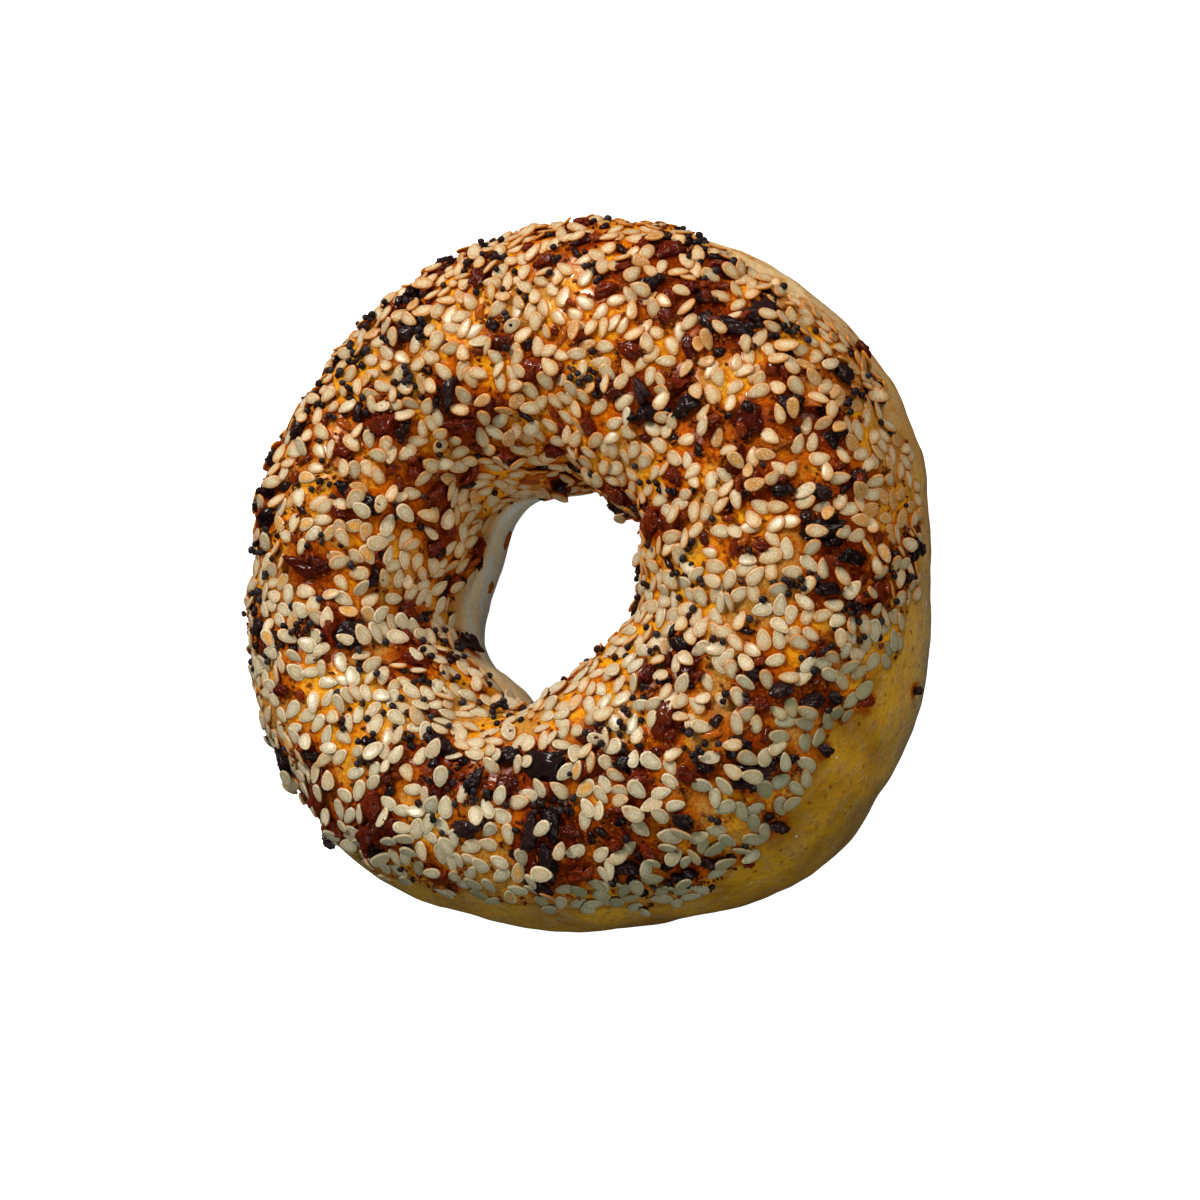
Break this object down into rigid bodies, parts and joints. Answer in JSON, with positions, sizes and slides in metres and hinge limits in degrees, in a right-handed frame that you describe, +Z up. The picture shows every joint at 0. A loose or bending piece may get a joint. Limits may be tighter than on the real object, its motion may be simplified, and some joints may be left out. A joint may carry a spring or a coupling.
{
  "type": "everything bagel",
  "caption": "Round plump everything bagel with an off-centre hole, its crown covered in sesame seeds, poppy seeds and dark onion and garlic flakes.",
  "frame": {"origin": "middle of the bagel's plan, on the surface that it lies on", "axes": "+Z up out of the seeded crown; +X towards the side where the bread between hole and edge is widest; +Y completes the frame"},
  "size_m": [0.1, 0.0998, 0.0408],
  "materials": {
    "crust": "satin",
    "sesame_seed": "satin",
    "toasted_sesame": "satin",
    "poppy_seed": "matte",
    "dark_flake": "satin",
    "brown_flake": "gloss"
  },
  "bodies": {
    "root": {"bagel": "crust"}
  },
  "joints": []
}
